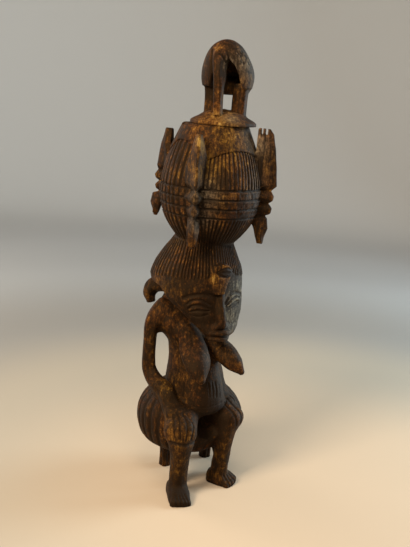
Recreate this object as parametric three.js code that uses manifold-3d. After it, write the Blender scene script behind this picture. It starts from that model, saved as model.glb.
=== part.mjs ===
// A seated woman on a round stool with a lidded bowl on her head, carved in the Senufo manner.
// Millimetres, +Z up. She faces -Y, her left is +X, and the soles and the stool's legs stand on z = 0.
// In the tables below, front means the distance forward, towards -Y, and distances sideways and forward
// are measured from her own middle line. The finished work is moved so that the origin is under its middle.

import * as THREE from 'three';
import { mergeVertices } from 'three/addons/utils/BufferGeometryUtils.js';
import Module from 'manifold-3d';

const wasm = await Module();
wasm.setup();

// Driving dimensions

const ORIGIN_X = 12;
const ORIGIN_FRONT = -13;

const BOWL_X = 3;
const BOWL_FRONT = 2;
const BOWL_BOTTOM = 344;
const BOWL_FOOT = 30;
const RIM_HEIGHT = 511;
const RIM_OUTER = 44.5;
const RIM_INNER = 34;
const BOWL_WALL = 8;
const BOWL_FLOOR = 362;
const THROAT = 7;
const BOWL_SIDES = 32;

const LID_GAP = 0.3;
const LID_SHIFT_X = 7.5;
const LID_SHIFT_FRONT = 5.5;
const LID_RADIUS = 44.3;
const LID_EDGE = 5;
const LID_RISE = 20;
const BIRD_TURN = 52;
const BIRD_TOP = 620;

const STOOL_X = 16;
const STOOL_FRONT = -26;
const STOOL_TOP = 142;
const STOOL_UNDERSIDE = 44;

const BELOW_FLOOR = -12;
const ABOVE_RIM = 9;
const LARGE = 600;
const CAP_SHARES = [0.85, 0.5];
const CAP_HEIGHT = 0.9;

// Smooth rows and closed skins

function between(before, from, to, after, t) {
  return from.map((value, i) => 0.5 * (
    2 * value
    + (to[i] - before[i]) * t
    + (2 * before[i] - 5 * value + 4 * to[i] - after[i]) * t * t
    + (3 * value - before[i] - 3 * to[i] + after[i]) * t * t * t));
}

function smoothRows(rows, steps) {
  const result = [];
  for (let k = 0; k + 1 < rows.length; k += 1) {
    const before = rows[Math.max(k - 1, 0)];
    const after = rows[Math.min(k + 2, rows.length - 1)];
    for (let step = 0; step < steps; step += 1) {
      result.push(between(before, rows[k], rows[k + 1], after, step / steps));
    }
  }
  result.push(rows[rows.length - 1]);
  return result;
}

function skin(rings) {
  const sides = rings[0].length;
  const positions = [];
  rings.forEach((ring) => ring.forEach((point) => positions.push(point.x, point.y, point.z)));
  const index = [];
  for (let k = 0; k + 1 < rings.length; k += 1) {
    for (let i = 0; i < sides; i += 1) {
      const a = k * sides + i;
      const b = k * sides + (i + 1) % sides;
      index.push(a, b, b + sides, a, b + sides, a + sides);
    }
  }
  for (const [ring, flip] of [[0, true], [rings.length - 1, false]]) {
    const middle = new THREE.Vector3();
    rings[ring].forEach((point) => middle.addScaledVector(point, 1 / sides));
    const centre = positions.length / 3;
    positions.push(middle.x, middle.y, middle.z);
    for (let i = 0; i < sides; i += 1) {
      const a = ring * sides + i;
      const b = ring * sides + (i + 1) % sides;
      index.push(...(flip ? [centre, b, a] : [centre, a, b]));
    }
  }
  const geometry = new THREE.BufferGeometry();
  geometry.setAttribute('position', new THREE.Float32BufferAttribute(positions, 3));
  geometry.setIndex(index);
  return geometry;
}

// Level sections, each row [height, middle x, middle front, half width, reach forward, reach back].
// With power 2 a section is an oval, and with more it is squarer.
function stack(rows, { sides = 16, steps = 2, power = 2 } = {}) {
  const rings = smoothRows(rows, steps).map(([z, x, front, half, forward, back]) => {
    const ring = [];
    for (let i = 0; i < sides; i += 1) {
      const angle = 2 * Math.PI * i / sides;
      const across = Math.sign(Math.cos(angle)) * Math.abs(Math.cos(angle)) ** (2 / power);
      const along = Math.sign(Math.sin(angle)) * Math.abs(Math.sin(angle)) ** (2 / power);
      const reach = along > 0 ? back : forward;
      ring.push(new THREE.Vector3(x + half * across, reach * along - front, z));
    }
    return ring;
  });
  return solid(skin(rings));
}

// Oval sections square to a smooth line, each row [x, front, height, half width, half thickness].
// The half width lies along `across`, and both ends are rounded.
function limb(rows, { sides = 10, steps = 2, across = new THREE.Vector3(1, 0, 0) } = {}) {
  const line = smoothRows(rows, steps).map(([x, front, z, half, thick]) => (
    { at: new THREE.Vector3(x, -front, z), half, thick }));
  const stations = line.map((here, k) => {
    const next = line[Math.min(k + 1, line.length - 1)].at;
    const last = line[Math.max(k - 1, 0)].at;
    return { ...here, along: next.clone().sub(last).normalize() };
  });
  const cap = (station, sign) => CAP_SHARES.map((share) => {
    const height = Math.sqrt(1 - share * share) * Math.min(station.half, station.thick) * CAP_HEIGHT;
    const at = station.at.clone().addScaledVector(station.along, sign * height);
    return { at, along: station.along, half: station.half * share, thick: station.thick * share };
  });
  const all = [
    ...cap(stations[0], -1).reverse(),
    ...stations,
    ...cap(stations[stations.length - 1], 1),
  ];
  const rings = all.map(({ at, along, half, thick }) => {
    const wide = across.clone().addScaledVector(along, -across.dot(along)).normalize();
    const deep = along.clone().cross(wide);
    const ring = [];
    for (let i = 0; i < sides; i += 1) {
      const angle = 2 * Math.PI * i / sides;
      ring.push(at.clone()
        .addScaledVector(wide, half * Math.cos(angle))
        .addScaledVector(deep, thick * Math.sin(angle)));
    }
    return ring;
  });
  return solid(skin(rings));
}

// Solids, joined and cut

function solid(geometry) {
  const bare = geometry.clone();
  bare.deleteAttribute('normal');
  bare.deleteAttribute('uv');
  const merged = mergeVertices(bare, 1e-4);
  return new wasm.Manifold(new wasm.Mesh({
    numProp: 3,
    vertProperties: new Float32Array(merged.attributes.position.array),
    triVerts: new Uint32Array(merged.index.array),
  }));
}

function joined(solids) {
  return solids.reduce((whole, next) => whole.add(next));
}

function box(lowX, lowY, lowZ, highX, highY, highZ) {
  const geometry = new THREE.BoxGeometry(highX - lowX, highY - lowY, highZ - lowZ);
  geometry.translate((lowX + highX) / 2, (lowY + highY) / 2, (lowZ + highZ) / 2);
  return solid(geometry);
}

// The same table on her right side.
function mirrored(rows) {
  return rows.map(([x, ...rest]) => [-x, ...rest]);
}

function meshOf(name, body, material) {
  const { vertProperties, triVerts } = body.getMesh();
  const geometry = new THREE.BufferGeometry();
  geometry.setAttribute('position', new THREE.Float32BufferAttribute(vertProperties, 3));
  geometry.setIndex([...triVerts]);
  geometry.computeVertexNormals();
  const mesh = new THREE.Mesh(geometry, material);
  mesh.name = name;
  return mesh;
}

// Stool: a squashed globe on four short legs

// Each leg's end on the floor, [x, front].
const STOOL_LEGS = [
  [-4, -51],
  [69, -51],
  [-20, 8],
  [54, 9],
];

// Each row [height, share of the leg's x and front there, half thickness].
const STOOL_LEG = [
  [BELOW_FLOOR, 1, 8],
  [10, 1, 8],
  [30, 0.97, 9.5],
  [STOOL_UNDERSIDE + 14, 0.9, 14],
];

// Each row [height, radius, lean]. The lean is how far the globe sags back and towards her right there.
const GLOBE = [
  [STOOL_UNDERSIDE, 42, 7],
  [52, 55, 7],
  [64, 65, 6],
  [80, 73, 3],
  [98, 76, 0],
  [113, 71, 0],
  [127, 59, 0],
  [STOOL_TOP, 37, 0],
];

function stool() {
  const globe = stack(
    GLOBE.map(([z, radius, lean]) => (
      [z, STOOL_X - 0.8 * lean, STOOL_FRONT - 0.6 * lean, radius, radius, radius])),
    { sides: 28, steps: 1 });
  const legs = STOOL_LEGS.map(([x, front]) => stack(
    STOOL_LEG.map(([z, share, half]) => [z, x * share, front * share, half, half, half]),
    { sides: 10, steps: 1, power: 3 }));
  const lap = stack([
    [76, 2, 55, 14, 18, 12],
    [88, 2, 55, 20, 24, 30],
    [104, 2, 55, 23, 24, 38],
    [122, 2, 55, 20, 20, 34],
    [136, 2, 55, 12, 10, 20],
  ], { sides: 16, steps: 1 });
  return joined([globe.subtract(lap), ...legs]);
}

// Body: trunk with a heavy belly, hanging breasts, arms on the hips, bent legs

function trunk() {
  return stack([
    [96, 0, 0, 34, 30, 34],
    [112, 0, 2, 36, 40, 44],
    [122, 0, 3, 37, 47, 46],
    [134, 0, 2, 37, 49, 46],
    [152, 0, 0, 35, 46, 44],
    [172, 0, -4, 33, 42, 36],
    [192, 0, -8, 33, 38, 30],
    [208, 0, -12, 35, 35, 27],
    [222, 0, -16, 45, 33, 25],
    [238, 0, -21, 52, 30, 24],
    [252, 0, -25, 52, 27, 22],
    [266, 0, -27, 42, 25, 20],
    [284, 0, -26, 34, 24, 20],
  ], { sides: 20, steps: 1, power: 2.3 });
}

const RIGHT_BREAST = [
  [22, 4, 232, 13, 12],
  [24, 22, 216, 19, 15],
  [29, 43, 199, 20, 16],
  [33, 56, 187, 16, 14],
  [34, 60, 183, 13, 12],
];

const LEFT_BREAST = [
  [16, 6, 221, 12, 12],
  [20, 24, 206, 16, 15],
  [27, 42, 195, 16, 14],
  [33, 54, 186, 13, 12],
  [34, 58, 182, 10, 10],
];

const RIGHT_ARM = [
  [42, -26, 254, 13, 15],
  [52, -28, 242, 12, 14],
  [57, -31, 225, 9.5, 12],
  [57, -31, 182, 9, 11],
  [56, -28, 163, 10, 10.5],
  [51, -14, 148, 12, 12],
  [47, 1, 140, 13, 13],
  [46, 14, 127, 11, 10],
];

const LEFT_ARM = [
  [42, -26, 254, 13, 15],
  [51, -29, 242, 12, 14],
  [54, -33, 225, 9.5, 12],
  [54, -34, 190, 9, 11],
  [52, -31, 168, 10, 12],
  [46, -18, 153, 11, 13],
  [38, -2, 141, 12, 13],
  [40, 12, 127, 11, 10],
];

const RIGHT_LEG = {
  thigh: [[20, 0, 116, 22, 22], [34, 26, 110, 23, 22], [48, 45, 99, 22, 20]],
  shin: [[48, 49, 102, 19, 19], [49, 51, 84, 17, 17], [48, 49, 64, 13, 14], [46, 46, 44, 12, 12], [45, 44, 22, 12, 12]],
  foot: [[42, 36, 9, 13, 13], [48, 52, 8, 15, 13], [54, 67, 3, 15, 9]],
};

const LEFT_LEG = {
  thigh: [[20, 0, 116, 22, 22], [31, 24, 110, 22, 21], [41, 42, 102, 18, 18]],
  shin: [[34, 43, 104, 15, 16], [32, 43, 84, 13, 14], [33, 40, 66, 11.5, 12.5], [34, 36, 44, 11.5, 12], [34, 33, 22, 11, 12]],
  foot: [[32, 25, 8, 12, 12], [39, 36, 7, 15, 12], [45, 45, 3, 16, 8]],
};

function leg({ thigh, shin, foot }, turn) {
  return joined([thigh, shin, foot].map((rows) => limb(turn(rows))));
}

function body() {
  const across = new THREE.Vector3(0.8, 0.6, 0);
  return joined([
    trunk(),
    limb(mirrored(RIGHT_BREAST)),
    limb(LEFT_BREAST),
    limb(mirrored(RIGHT_ARM), { across: across.clone().multiply(new THREE.Vector3(-1, 1, 1)), steps: 1 }),
    limb(LEFT_ARM, { across, steps: 1 }),
    leg(RIGHT_LEG, mirrored),
    leg(LEFT_LEG, (rows) => rows),
  ]);
}

// Head: long heart-shaped face, high ribbed hair with two lobes hooked down at the nape

function skull() {
  return stack([
    [228, 0, 47, 9, 9, 9],
    [234, 0, 44, 16, 14, 14],
    [246, 0, 34, 28, 21, 20],
    [262, 0, 19, 43, 34, 34],
    [276, 0, 4, 54, 48, 54],
    [290, 0, -5, 59, 58, 72],
    [302, 0, -7, 60, 60, 74],
    [316, 0, -7, 57, 59, 67],
    [332, 0, -6, 50, 53, 57],
    [346, 0, -4, 43, 46, 48],
    [358, 0, -2, 38, 40, 40],
  ], { sides: 24, steps: 1, power: 2.2 });
}

const HAIR_LOBE = [
  [30, -44, 286, 12, 13],
  [40, -57, 279, 10, 10],
  [44, -61, 268, 8.5, 8],
  [43, -59, 258, 6, 5],
];

function face() {
  const nose = limb([
    [0, 47, 284, 5, 4],
    [0, 52, 268, 5, 5],
    [0, 55, 254, 6, 6],
    [0, 55, 248, 7, 5],
  ], { sides: 8 });
  const mouth = stack([
    [231, 0, 48, 12, 8, 8],
    [237, 0, 49, 14, 10, 8],
    [241, 0, 47, 12, 8, 8],
  ], { sides: 12, power: 4 });
  const tab = stack([
    [286, 0, 44, 6, 11, 6],
    [300, 0, 44, 7, 13, 6],
    [316, 0, 42, 13, 16, 6],
    [322, 0, 42, 14, 17, 6],
    [332, 0, 40, 3, 14, 6],
  ], { sides: 12, steps: 1, power: 3 });
  return joined([nose, mouth, tab]);
}

function head() {
  return joined([skull(), limb(HAIR_LOBE, { sides: 8 }), limb(mirrored(HAIR_LOBE), { sides: 8 }), face()]);
}

// Bowl: a hollow ovoid, with four heads in profile standing out from it

// Each row [radius, height].
const BOWL_OUTLINE = [
  [38, 352], [50, 366], [60, 381], [66.5, 397], [70, 416], [69.5, 435], [65, 458], [58, 479], [51, 496],
];

// A solid turned about the bowl's own axis.
function turned(profile) {
  const geometry = new THREE.LatheGeometry(profile.map(([radius, z]) => new THREE.Vector2(radius, z)), BOWL_SIDES);
  geometry.rotateX(Math.PI / 2);
  geometry.translate(BOWL_X, -BOWL_FRONT, 0);
  return solid(geometry);
}

function bowl() {
  return turned([
    [0, BOWL_BOTTOM], [BOWL_FOOT, BOWL_BOTTOM + 1], ...BOWL_OUTLINE, [RIM_OUTER, RIM_HEIGHT], [0, RIM_HEIGHT],
  ]);
}

// The hollow keeps the wall's thickness, and its straight throat runs out above the rim.
function bowlHollow() {
  const top = RIM_HEIGHT + ABOVE_RIM;
  const wall = BOWL_OUTLINE
    .filter(([, z]) => z > BOWL_FLOOR + BOWL_WALL)
    .map(([radius, z]) => [radius - BOWL_WALL, z]);
  return turned([
    [0, BOWL_FLOOR], [BOWL_FOOT, BOWL_FLOOR + 1], ...wall,
    [RIM_INNER, RIM_HEIGHT - THROAT], [RIM_INNER, top], [0, top],
  ]);
}

// A head in profile: rows [share of the height, inner reach, outer reach, half root, half ridge].
// The share runs from -1 at the beard's tip through 0 under the hat to 1 at the hat's tip.
const PROFILE_HEAD = [
  [1, 59, 72, 4, 3],
  [0.9, 58, 76, 7, 4],
  [0.6, 57, 83, 10, 4],
  [0.3, 57, 86.5, 11, 4],
  [0.02, 60, 89, 10, 4.5],
  [-0.03, 60, 80, 8, 5],
  [-0.14, 60, 86, 8, 4],
  [-0.26, 60, 79.5, 8, 4.5],
  [-0.37, 60, 85, 8, 4],
  [-0.43, 60, 76, 7, 4],
  [-0.62, 61, 82, 7.5, 3],
  [-0.82, 63, 79, 6, 3],
  [-1, 66, 73, 3.5, 2.5],
];

const CHIN = -0.5;

const PROFILE_HEADS = [
  { turn: 46, top: 500, hat: 435, tip: 352, reach: 1 },
  { turn: -45, top: 511, hat: 435, tip: 357, reach: 1 },
  { turn: 137, top: 500, hat: 443, tip: 379, reach: 0.94, brim: 0.87, beard: 1.02 },
  { turn: -137, top: 502, hat: 438, tip: 366, reach: 0.97 },
];

// `turn` is the angle from straight ahead towards her right.
function profileHead({ turn, top, hat, tip, reach, brim = reach, beard = reach }) {
  const angle = THREE.MathUtils.degToRad(turn);
  const out = new THREE.Vector3(-Math.sin(angle), -Math.cos(angle), 0);
  const aside = new THREE.Vector3(0, 0, 1).cross(out);
  const rings = PROFILE_HEAD.map(([share, inner, outer, root, ridge]) => {
    const z = share > 0 ? hat + share * (top - hat) : hat + share * (hat - tip);
    const middle = (inner + outer) / 2;
    let stretch = share > 0 && share < 1 ? brim : reach;
    if (share < CHIN) {
      stretch = beard;
    }
    const corners = [
      [inner, -root], [middle, -(root + ridge) / 2], [outer, -ridge],
      [outer, ridge], [middle, (root + ridge) / 2], [inner, root],
    ];
    return corners.map(([distance, side]) => new THREE.Vector3(BOWL_X, -BOWL_FRONT, z)
      .addScaledVector(out, distance * stretch)
      .addScaledVector(aside, side));
  });
  return solid(skin(rings.reverse()));
}

// Lid: a low dome with a hornbill standing on it, its beak down to the lid

// Each row [radius, height above the lid's underside].
const LID_PROFILE = [
  [0, 0],
  [LID_RADIUS - 1, 0],
  [LID_RADIUS, 1],
  [LID_RADIUS, LID_EDGE - 1],
  [LID_RADIUS - 2, LID_EDGE],
  [34, 10],
  [20, LID_RISE - 2],
  [0, LID_RISE],
];

function lidDisc() {
  const profile = LID_PROFILE.map(([radius, z]) => new THREE.Vector2(radius, RIM_HEIGHT + LID_GAP + z));
  const geometry = new THREE.LatheGeometry(profile, BOWL_SIDES);
  geometry.rotateX(Math.PI / 2);
  return solid(geometry);
}

function bird() {
  const floor = RIM_HEIGHT + LID_GAP + LID_EDGE;
  const dome = stack([
    [560, 0, -4, 33, 25, 42],
    [572, 0, -4, 35, 28, 44],
    [586, 0, -2, 33.5, 28, 40],
    [600, 0, 0, 27, 25, 31],
    [612, 0, 2, 17, 18, 20],
    [BIRD_TOP, 0, 3, 5, 6, 6],
  ], { sides: 20, power: 2.1 });
  const hollow = stack([
    [540, 0, -2, 19, 60, 30],
    [568, 0, -2, 18, 60, 28],
    [582, 0, -2, 10, 50, 16],
  ], { sides: 16 });
  const legs = [-1, 1].map((side) => stack([
    [floor, side * 19, -6, 9.5, 10, 9],
    [548, side * 19, -6, 9.5, 10, 9],
    [566, side * 21, -6, 10, 12, 12],
  ], { sides: 10, steps: 1, power: 4 }));
  const headAndBeak = limb([
    [0, 12, 606, 12, 13],
    [0, 24, 596, 12.5, 12],
    [0, 30, 580, 10.5, 9],
    [0, 31, 562, 7.5, 7.5],
    [0, 30, 544, 7, 6.5],
    [0, 29, 528, 7, 6.5],
  ]);
  const tail = limb([
    [0, -30, 592, 15, 9],
    [0, -42, 574, 14, 6],
    [0, -48, 555, 13, 4],
  ]);
  return joined([dome.subtract(hollow), ...legs, headAndBeak, tail]);
}

// The whole work

const wood = { color: 0x4a3220, roughness: 0.5, metalness: 0 };

function seatedFigure() {
  const whole = joined([stool(), body(), head(), bowl(), ...PROFILE_HEADS.map(profileHead)]);
  return whole
    .subtract(bowlHollow())
    .subtract(box(-LARGE, -LARGE, -LARGE, LARGE, LARGE, 0));
}

const object = new THREE.Group();

const figure = meshOf('seated_figure', seatedFigure(), new THREE.MeshStandardMaterial(wood));
figure.position.set(-ORIGIN_X, ORIGIN_FRONT, 0);
object.add(figure);

const lid = meshOf('bird_lid', joined([lidDisc(), bird()]), new THREE.MeshStandardMaterial(wood));
lid.position.set(BOWL_X + LID_SHIFT_X - ORIGIN_X, ORIGIN_FRONT - BOWL_FRONT - LID_SHIFT_FRONT, 0);
lid.rotation.z = -THREE.MathUtils.degToRad(BIRD_TURN);
object.add(lid);

export default object;
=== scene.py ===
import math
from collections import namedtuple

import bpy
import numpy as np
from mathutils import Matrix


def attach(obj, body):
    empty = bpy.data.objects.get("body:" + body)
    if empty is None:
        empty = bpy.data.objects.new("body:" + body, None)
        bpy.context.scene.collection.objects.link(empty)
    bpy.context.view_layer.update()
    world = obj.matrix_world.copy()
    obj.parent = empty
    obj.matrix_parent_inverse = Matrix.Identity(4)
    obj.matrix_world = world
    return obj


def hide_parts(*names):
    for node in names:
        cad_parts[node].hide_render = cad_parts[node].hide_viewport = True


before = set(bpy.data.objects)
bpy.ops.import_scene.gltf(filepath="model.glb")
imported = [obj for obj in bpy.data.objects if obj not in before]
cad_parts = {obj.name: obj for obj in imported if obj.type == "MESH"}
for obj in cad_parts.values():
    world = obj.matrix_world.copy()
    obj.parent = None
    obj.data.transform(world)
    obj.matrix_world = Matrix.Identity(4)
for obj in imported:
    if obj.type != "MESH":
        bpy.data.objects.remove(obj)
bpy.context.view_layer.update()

# A seated woman on a round stool with a lidded bowl on her head, carved from dark handled wood.
# The carving is written as distances to its surface, in millimetres, and then turned into fine meshes.
# She faces -Y and her left is +X. In the tables, front means the distance forward, towards -Y, and
# distances sideways and forward are measured from her own middle line.

import openvdb
from mathutils import Matrix, Vector

MM = 0.001
# Where the frame's origin lies from her middle line
ORIGIN_X, ORIGIN_FRONT = 12, -13

# Fineness of the meshes. Distances are kept up to BAND, and SLACK is needed for the finest voxels.

VOXEL, BLOCK, SUB_BLOCK = 0.8, 8, 2
MARGIN, BAND, SLACK, HALF_DIAGONAL = 4, 3, 1.2, 0.87
FIGURE_TRIANGLES, LID_TRIANGLES = 190000, 60000

# A form counts within REACH of its box, and FAR stands for anywhere beyond.
FAR, REACH = 40.0, 9.0
Form = namedtuple("Form", "low high distance")


# Smooth rows

def smooth_rows(rows, steps):
    """The rows of a table with smooth steps put in between them."""
    rows = np.array(rows, float)
    result = []
    for k in range(len(rows) - 1):
        before = rows[max(k - 1, 0)]
        start, stop = rows[k], rows[k + 1]
        after = rows[min(k + 2, len(rows) - 1)]
        for t in np.arange(steps) / steps:
            result.append(0.5 * (
                2 * start
                + (stop - before) * t
                + (2 * before - 5 * start + 4 * stop - after) * t ** 2
                + (3 * start - before - 3 * stop + after) * t ** 3))
    result.append(rows[-1])
    return np.array(result)


def mirrored(rows):
    """The same table on her right side."""
    return [[-row[0], *row[1:]] for row in rows]


def between(value, rows):
    """The second column of a table at each value of its first one."""
    return np.interp(value, *np.array(rows, float).T)


# Points, boxes and lines

def lattice(*axes):
    """All combinations of the numbers on three axes, one row each."""
    return np.stack(np.meshgrid(*axes, indexing="ij"), -1).reshape(-1, 3)


def in_box(p, low, high):
    return np.all((p > low) & (p < high), axis=1)


def nearest(p, a, b):
    """Where from a to b each point's nearest place is, from 0 to 1, and its squared distance."""
    run = b - a
    t = np.clip((p - a) @ run / (run @ run), 0, 1)
    off = p - a - t[:, None] * run
    return t, np.einsum("ij,ij->i", off, off)


def path_distance(p, path):
    """Distance of points from a bent line."""
    return np.sqrt(np.min([nearest(p, a, b)[1] for a, b in zip(path, path[1:])], axis=0))


def polygon_distance(q, corners):
    """Signed distance of flat points from a closed outline, below zero inside."""
    best = np.full(len(q), np.inf)
    inside = np.zeros(len(q), bool)
    for a, b in zip(corners, np.roll(corners, -1, axis=0)):
        if np.array_equal(a, b):
            continue
        best = np.minimum(best, nearest(q, a, b)[1])
        if a[1] != b[1]:
            crosses = (a[1] > q[:, 1]) != (b[1] > q[:, 1])
            inside ^= crosses & (q[:, 0] < a[0] + (q[:, 1] - a[1]) * (b[0] - a[0]) / (b[1] - a[1]))
    return np.where(inside, -1, 1) * np.sqrt(best)


# Joining and cutting distances

def smooth_min(a, b, blend):
    overlap = np.maximum(blend - np.abs(a - b), 0) / blend
    return np.minimum(a, b) - overlap ** 2 * blend / 4


def smooth_max(a, b, blend):
    return -smooth_min(-a, -b, blend)


def united(forms, blend):
    """Several forms as one, with rounded joins."""
    low = np.min([form.low for form in forms], axis=0)
    high = np.max([form.high for form in forms], axis=0)

    def distance(p):
        result = np.full(len(p), FAR)
        for form in forms:
            near = in_box(p, form.low - REACH, form.high + REACH)
            if near.any():
                result[near] = smooth_min(result[near], form.distance(p[near]), blend)
        return result

    return Form(low, high, distance)


def cut_by(form, tool, blend):
    """A form with another one cut out of it."""
    def distance(p):
        result = form.distance(p)
        near = in_box(p, tool.low - REACH, tool.high + REACH)
        result[near] = smooth_max(result[near], -tool.distance(p[near]), blend)
        return result

    return Form(form.low, form.high, distance)


def cut_below(form, level):
    """A form cut off flat at a level."""
    def distance(p):
        return smooth_max(form.distance(p), level - p[:, 2], 1)

    return Form(np.array([*form.low[:2], level]), form.high, distance)


def carved(form, depth, within=4.0):
    """A form with its surface cut back by depth(points), which is only asked for near the surface."""
    def distance(p):
        result = form.distance(p)
        near = np.abs(result) < within
        if near.any():
            result[near] += depth(p[near])
        return result

    return Form(form.low, form.high, distance)


# Basic forms

def column(rows, power=2.0, edge=1.5):
    """Level sections, each row [height, middle x, middle front, half width, reach forward, reach back].
    With power 2 a section is an oval, and with more it is squarer. Edge rounds the two ends."""
    table = smooth_rows(rows, 8)
    level, middle, front, half, ahead, behind = table.T
    radius = table[:, 3:].mean(axis=1)
    upright = 1 / np.hypot(1, np.gradient(radius, level))
    low = np.array([(middle - half).min(), -(front + ahead).max(), level[0]])
    high = np.array([(middle + half).max(), (behind - front).max(), level[-1]])

    def distance(p):
        z = p[:, 2]
        side = p[:, 0] - np.interp(z, level, middle)
        forward = -p[:, 1] - np.interp(z, level, front)
        wide = np.interp(z, level, half)
        deep = np.where(forward > 0, np.interp(z, level, ahead), np.interp(z, level, behind))
        share = (np.abs(side / wide) ** power + np.abs(forward / deep) ** power) ** (1 / power)
        out = np.hypot(side, forward)
        rim = np.where(share > 0.01, out / np.maximum(share, 0.01), np.minimum(wide, deep))
        wall = (out - rim) * np.interp(z, level, upright)
        ends = np.maximum(z - level[-1], level[0] - z)
        return smooth_max(wall, ends, edge)

    return Form(low, high, distance)


def limb(rows, across=(1, 0, 0), power=2.0, steps=5):
    """Oval sections square to a smooth line, each row [x, front, height, half width, half thickness].
    The half width lies along `across`, and both ends are rounded."""
    table = smooth_rows(rows, steps)
    line = table[:, :3] * (1, -1, 1)
    along = np.gradient(line, axis=0)
    along /= np.linalg.norm(along, axis=1)[:, None]
    wide = np.array(across, float) - along * (along @ across)[:, None]
    wide /= np.linalg.norm(wide, axis=1)[:, None]
    deep = np.cross(along, wide)
    half = table[:, 3:]
    grow = half.max(axis=1)[:, None]
    low = (line - grow).min(axis=0)
    high = (line + grow).max(axis=0)

    def distance(p):
        best = np.full(len(p), np.inf)
        place = np.zeros(len(p))
        for k in range(len(line) - 1):
            t, square = nearest(p, line[k], line[k + 1])
            nearer = square < best
            best[nearer] = square[nearer]
            place[nearer] = (k + t)[nearer]
        k = np.minimum(place.astype(int), len(line) - 2)
        t = (place - k)[:, None]

        def at(values):
            return values[k] * (1 - t) + values[k + 1] * t

        off = p - at(line)
        size = at(half)
        cap = 0.9 * size.min(axis=1)
        parts = np.abs(np.stack([np.einsum("ij,ij->i", off, at(way)) for way in (wide, deep, along)], 1))
        sizes = np.stack([size[:, 0], size[:, 1], cap], axis=1)
        shares = parts / sizes
        share = np.maximum((shares ** power).sum(axis=1) ** (1 / power), 0.05)
        slope = np.sqrt(((shares ** (power - 1) / sizes) ** 2).sum(axis=1)) * share ** (1 - power)
        return (share - 1) / np.maximum(slope, 0.3 / size.max(axis=1))

    return Form(low, high, distance)


# Soft patterns

CELLS = 32
RANDOM = np.random.default_rng(7).uniform(-1, 1, (CELLS, CELLS, CELLS))
JITTER = np.random.default_rng(11).uniform(0.1, 0.9, (CELLS, CELLS, CELLS, 3))


def lumps(p, size, shift=0.0):
    """Smooth noise from -1 to 1, with lumps of the given size, which may differ along x, y and z."""
    q = p / np.array(size) + shift
    cell = np.floor(q).astype(int)
    t = q - cell
    t = t * t * (3 - 2 * t)
    total = np.zeros(len(p))
    for corner in lattice(*[(0, 1)] * 3):
        x, y, z = np.where(corner, t, 1 - t).T
        total += x * y * z * RANDOM[tuple(((cell + corner) % CELLS).T)]
    return total


def scoops(p, size, shift=0.0):
    """Shallow knife scoops: 0 in their middles and up to 1 where they meet."""
    q = p / np.array(size) + shift
    cell = np.floor(q).astype(int)
    best = np.full(len(p), 1.0)
    for corner in lattice(*[(-1, 0, 1)] * 3):
        other = cell + corner
        middle = other + JITTER[tuple((other % CELLS).T)]
        best = np.minimum(best, ((q - middle) ** 2).sum(axis=1))
    return best


def step(value, start, stop):
    """0 before start, 1 after stop, smooth in between."""
    t = np.clip((value - start) / (stop - start), 0, 1)
    return t * t * (3 - 2 * t)


def turn_about(p, x, front):
    """Angle in degrees about an upright axis, from straight ahead towards her right."""
    return np.degrees(np.arctan2(x - p[:, 0], -p[:, 1] - front))


def groove(offset, half_width):
    """A rounded V across a line: 1 on the line and 0 past the half width."""
    return np.maximum(1 - np.abs(offset) / half_width, 0) ** 1.3


# Engraved lines

# All of them, for cut_lines
CUTS = []


def engraved(form, lines):
    """A form with lines cut into it, each [depth, half width, (x, front, height), ...].
    A negative depth raises a line instead."""
    strokes = []
    for depth, half, *points in lines:
        path = smooth_rows([[x, -front, z] for x, front, z in points], 4)
        path, _ = settled(path, form, rounds=6, most=3)
        strokes.append((depth, half, path, path.min(axis=0) - half, path.max(axis=0) + half))
    CUTS.extend(strokes)

    def depth_at(p):
        total = np.zeros(len(p))
        for depth, half, path, low, high in strokes:
            near = in_box(p, low, high)
            if near.any():
                total[near] += depth * groove(path_distance(p[near], path), half)
        return total

    return carved(form, depth_at)


DEEP_CUT, LEAST_CUT = 2.5, -0.25


def cut_lines(p):
    """1 in the deepest engraved lines, 0 away from them, and less than 0 on the raised ones."""
    total = np.zeros(len(p))
    for depth, half, path, low, high in CUTS:
        near = in_box(p, low, high)
        if near.any():
            line = groove(path_distance(p[near], path), half) * np.clip(depth / DEEP_CUT, LEAST_CUT, 1)
            total[near] = np.where(np.abs(line) > np.abs(total[near]), line, total[near])
    return total


RIB_SHARPNESS, BELT_SHARPNESS = 3, 14


def flutes(turn, count):
    """Ribs side by side around an axis: 1 in the grooves between them and 0 on their crowns."""
    return (0.5 + 0.5 * np.cos(np.radians(turn) * count)) ** RIB_SHARPNESS


# Stool

STOOL_X, STOOL_FRONT = 16, -26
# Rows [height, radius, lean]
GLOBE = [
    [44, 42, 7], [52, 55, 7], [64, 65, 6], [80, 73, 3], [98, 76, 0], [113, 71, 0], [127, 59, 0],
    [142, 37, 0],
]
# Rows [x, front], and rows [height, share of that, half thickness]
STOOL_LEGS = [[-4, -51], [69, -51], [-20, 8], [54, 9]]
STOOL_LEG = [[-12, 1, 8], [10, 1, 8], [30, 0.97, 9.5], [58, 0.9, 14]]
LEAN_SIDE, LEAN_BACK = 0.8, 0.6
GLOBE_GROOVES, LEG_GROOVES = 30, 9
GLOBE_DEPTH, LEG_DEPTH = 1.5, 0.9
LAP = [[76, 14, 18, 12], [88, 20, 24, 30], [104, 23, 24, 38], [122, 20, 20, 34], [136, 12, 10, 20]]


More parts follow.
